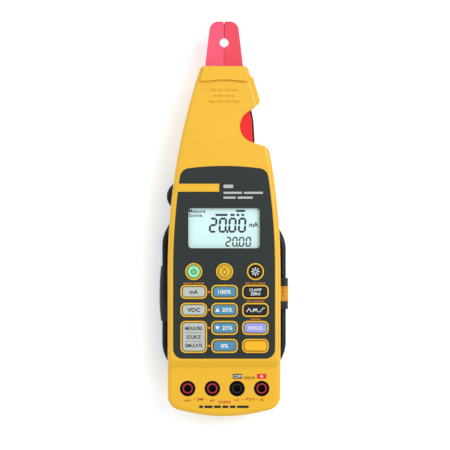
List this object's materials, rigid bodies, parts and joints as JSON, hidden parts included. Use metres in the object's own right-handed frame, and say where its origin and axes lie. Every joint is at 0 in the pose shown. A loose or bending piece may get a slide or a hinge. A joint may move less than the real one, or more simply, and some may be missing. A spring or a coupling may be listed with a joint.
{
  "type": "process clamp meter",
  "caption": "Hand-held signal meter with two small clamping jaws on a tapered head, a trigger lever, a display, rubber keys, input jacks and a lead wound on its back.",
  "frame": {"origin": "under the middle of the meter's length and width, on the surface that it lies on", "axes": "+Z out of the face with the display and keys, +Y towards the tips of the jaws, +X to the right of the face"},
  "size_m": [0.0812, 0.246, 0.044],
  "materials": {
    "front_case": "satin moulded yellow",
    "back_case": "satin moulded yellow",
    "face_label": "matt printed film",
    "moving_jaw": "satin moulded red",
    "lever_grip": "matt rubber",
    "fixed_jaw": "satin moulded red",
    "moving_core": "laminated core",
    "fixed_core": "laminated core",
    "pivot_pin": "turned steel",
    "jaw_spring": "spring wire",
    "main_board": "solder-masked board",
    "board_chips": "moulded packages",
    "display_holder": "moulded frame",
    "display_glass": "display glass",
    "display_light": "diffuser",
    "contact_strips": "conductive rubber",
    "display_window": "clear window",
    "keypad_mat": "silicone mat",
    "board_screws": "plated steel",
    "sensor_board": "solder-masked board",
    "spot_lamp": "clear lamp",
    "jack_loop": "moulded shroud",
    "jack_milliamp": "moulded shroud",
    "jack_common": "moulded shroud",
    "jack_volt": "moulded shroud",
    "jack_sleeves": "sprung sleeves",
    "jack_board": "solder-masked board",
    "battery_contacts": "plated contacts",
    "battery_door": "satin moulded yellow",
    "door_screw_lower": "plated steel",
    "door_screw_upper": "plated steel",
    "case_screws": "blackened steel",
    "sensor_lead": "smooth cable jacket",
    "lead_grommet": "moulded rubber",
    "head_relief": "moulded rubber",
    "right_keeper": "woven strap",
    "keeper_stripe": "woven stripe",
    "left_keeper": "woven strap",
    "key_power": "moulded silicone",
    "key_spotlight": "moulded silicone",
    "key_backlight": "moulded silicone",
    "key_milliamp": "moulded silicone",
    "key_volt": "moulded silicone",
    "key_mode": "moulded silicone",
    "key_full_scale": "moulded silicone",
    "key_step_up": "moulded silicone",
    "key_step_down": "moulded silicone",
    "key_zero_scale": "moulded silicone",
    "key_clamp_zero": "moulded silicone",
    "key_pulse": "moulded silicone",
    "key_hold": "moulded silicone",
    "key_shift": "moulded silicone",
    "battery_cell_1": "printed jacket",
    "battery_cell_2": "printed jacket",
    "battery_cell_3": "printed jacket",
    "battery_cell_4": "printed jacket"
  },
  "bodies": {
    "case": {"front_case": "front_case", "back_case": "back_case", "face_label": "face_label", "fixed_jaw": "fixed_jaw", "fixed_core": "fixed_core", "pivot_pin": "pivot_pin", "jaw_spring": "jaw_spring", "main_board": "main_board", "board_chips": "board_chips", "display_holder": "display_holder", "display_glass": "display_glass", "display_light": "display_light", "contact_strips": "contact_strips", "display_window": "display_window", "keypad_mat": "keypad_mat", "board_screws": "board_screws", "sensor_board": "sensor_board", "spot_lamp": "spot_lamp", "jack_loop": "jack_loop", "jack_milliamp": "jack_milliamp", "jack_common": "jack_common", "jack_volt": "jack_volt", "jack_sleeves": "jack_sleeves", "jack_board": "jack_board", "battery_contacts": "battery_contacts", "case_screws": "case_screws", "sensor_lead": "sensor_lead", "lead_grommet": "lead_grommet", "head_relief": "head_relief", "right_keeper": "right_keeper", "keeper_stripe": "keeper_stripe", "left_keeper": "left_keeper", "battery_cell_1": "battery_cell_1", "battery_cell_2": "battery_cell_2", "battery_cell_3": "battery_cell_3", "battery_cell_4": "battery_cell_4"},
    "jaw": {"moving_jaw": "moving_jaw", "lever_grip": "lever_grip", "moving_core": "moving_core"},
    "door": {"battery_door": "battery_door"},
    "lower_screw": {"door_screw_lower": "door_screw_lower"},
    "upper_screw": {"door_screw_upper": "door_screw_upper"},
    "key_power": {"key_power": "key_power"},
    "key_spotlight": {"key_spotlight": "key_spotlight"},
    "key_backlight": {"key_backlight": "key_backlight"},
    "key_milliamp": {"key_milliamp": "key_milliamp"},
    "key_volt": {"key_volt": "key_volt"},
    "key_mode": {"key_mode": "key_mode"},
    "key_full_scale": {"key_full_scale": "key_full_scale"},
    "key_step_up": {"key_step_up": "key_step_up"},
    "key_step_down": {"key_step_down": "key_step_down"},
    "key_zero_scale": {"key_zero_scale": "key_zero_scale"},
    "key_clamp_zero": {"key_clamp_zero": "key_clamp_zero"},
    "key_pulse": {"key_pulse": "key_pulse"},
    "key_hold": {"key_hold": "key_hold"},
    "key_shift": {"key_shift": "key_shift"}
  },
  "joints": [
    {"name": "jaw_open", "type": "hinge", "parent": "case", "child": "jaw", "pos_m": [0.008, 0.09, 0.025], "axis": [0, 0, -1], "range_deg": [0, 11], "stiffness_Nm_per_rad": 0.5, "springref_deg": -8.59, "deforming": ["jaw_spring"]},
    {"name": "key_power_press", "type": "slide", "parent": "case", "child": "key_power", "axis": [0, 0, -1], "range_m": [0, 0.0008], "stiffness_N_per_m": 800},
    {"name": "key_spotlight_press", "type": "slide", "parent": "case", "child": "key_spotlight", "axis": [0, 0, -1], "range_m": [0, 0.0008], "stiffness_N_per_m": 800},
    {"name": "key_backlight_press", "type": "slide", "parent": "case", "child": "key_backlight", "axis": [0, 0, -1], "range_m": [0, 0.0008], "stiffness_N_per_m": 800},
    {"name": "key_milliamp_press", "type": "slide", "parent": "case", "child": "key_milliamp", "axis": [0, 0, -1], "range_m": [0, 0.0008], "stiffness_N_per_m": 800},
    {"name": "key_volt_press", "type": "slide", "parent": "case", "child": "key_volt", "axis": [0, 0, -1], "range_m": [0, 0.0008], "stiffness_N_per_m": 800},
    {"name": "key_mode_press", "type": "slide", "parent": "case", "child": "key_mode", "axis": [0, 0, -1], "range_m": [0, 0.0008], "stiffness_N_per_m": 800},
    {"name": "key_full_scale_press", "type": "slide", "parent": "case", "child": "key_full_scale", "axis": [0, 0, -1], "range_m": [0, 0.0008], "stiffness_N_per_m": 800},
    {"name": "key_step_up_press", "type": "slide", "parent": "case", "child": "key_step_up", "axis": [0, 0, -1], "range_m": [0, 0.0008], "stiffness_N_per_m": 800},
    {"name": "key_step_down_press", "type": "slide", "parent": "case", "child": "key_step_down", "axis": [0, 0, -1], "range_m": [0, 0.0008], "stiffness_N_per_m": 800},
    {"name": "key_zero_scale_press", "type": "slide", "parent": "case", "child": "key_zero_scale", "axis": [0, 0, -1], "range_m": [0, 0.0008], "stiffness_N_per_m": 800},
    {"name": "key_clamp_zero_press", "type": "slide", "parent": "case", "child": "key_clamp_zero", "axis": [0, 0, -1], "range_m": [0, 0.0008], "stiffness_N_per_m": 800},
    {"name": "key_pulse_press", "type": "slide", "parent": "case", "child": "key_pulse", "axis": [0, 0, -1], "range_m": [0, 0.0008], "stiffness_N_per_m": 800},
    {"name": "key_hold_press", "type": "slide", "parent": "case", "child": "key_hold", "axis": [0, 0, -1], "range_m": [0, 0.0008], "stiffness_N_per_m": 800},
    {"name": "key_shift_press", "type": "slide", "parent": "case", "child": "key_shift", "axis": [0, 0, -1], "range_m": [0, 0.0008], "stiffness_N_per_m": 800},
    {"name": "door_lift", "type": "slide", "parent": "case", "child": "door", "axis": [0, 0, -1], "range_m": [0, 0.014]},
    {"name": "lower_screw_turn", "type": "hinge", "parent": "door", "child": "lower_screw", "pos_m": [0, -0.0818, 0.001], "axis": [0, 0, -1], "range_deg": [0, 90]},
    {"name": "upper_screw_turn", "type": "hinge", "parent": "door", "child": "upper_screw", "pos_m": [0, -0.0162, 0.001], "axis": [0, 0, -1], "range_deg": [0, 90]}
  ]
}
